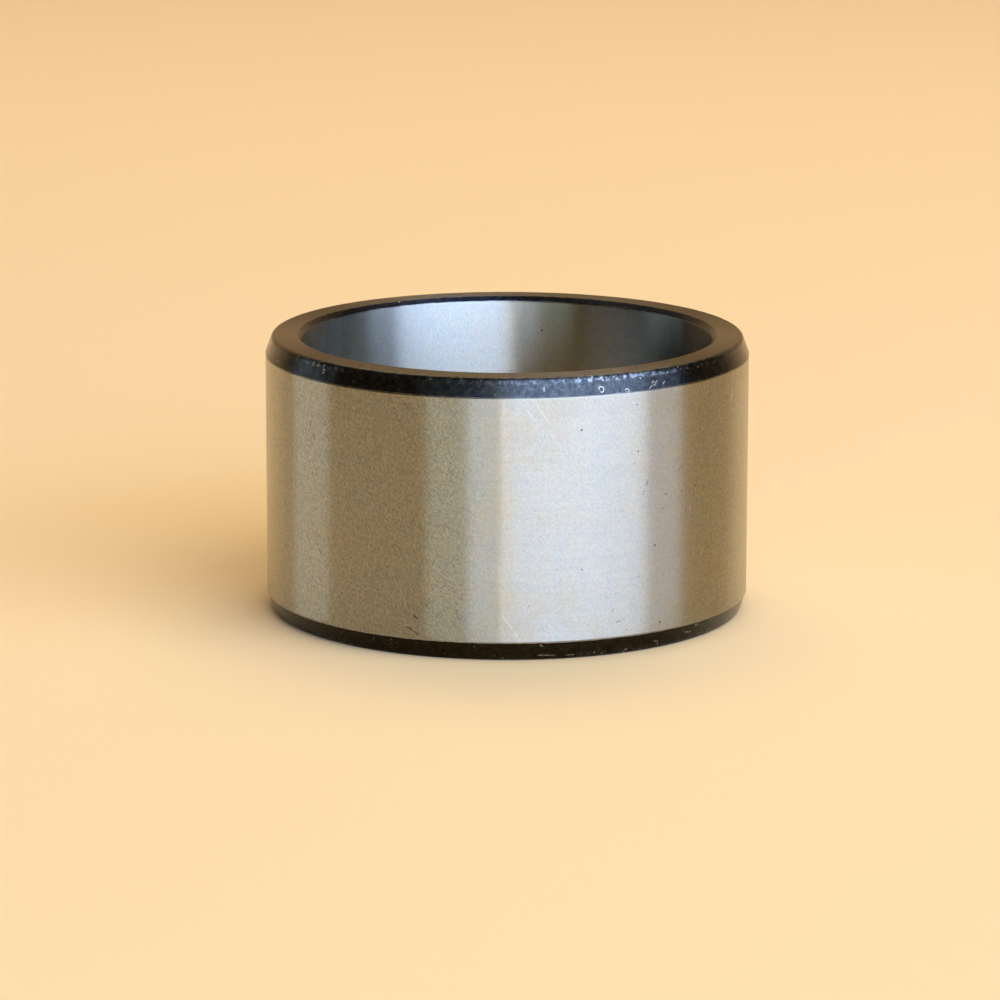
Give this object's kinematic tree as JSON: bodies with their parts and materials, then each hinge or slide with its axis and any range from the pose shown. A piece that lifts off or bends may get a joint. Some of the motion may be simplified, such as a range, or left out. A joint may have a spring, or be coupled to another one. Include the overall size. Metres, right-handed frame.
{
  "type": "sleeve bushing",
  "caption": "Plain straight sleeve bushing of hardened steel: ground outside and bore, black long-taper lead-ins, for a pivot pin in a pressed housing.",
  "frame": {"origin": "centre of the lower end face, on the bore axis", "axes": "+Z along the bore axis, up through the sleeve; X and Y are equivalent"},
  "size_m": [0.1048, 0.1048, 0.0603],
  "materials": {
    "ground_steel": "bright ground outside wall and bore, thin black oxide left on both lead-in tapers, end edges and bore breaks; light stains, nicks and rust specks"
  },
  "bodies": {
    "root": {"bushing_sleeve": "ground_steel"}
  },
  "joints": []
}
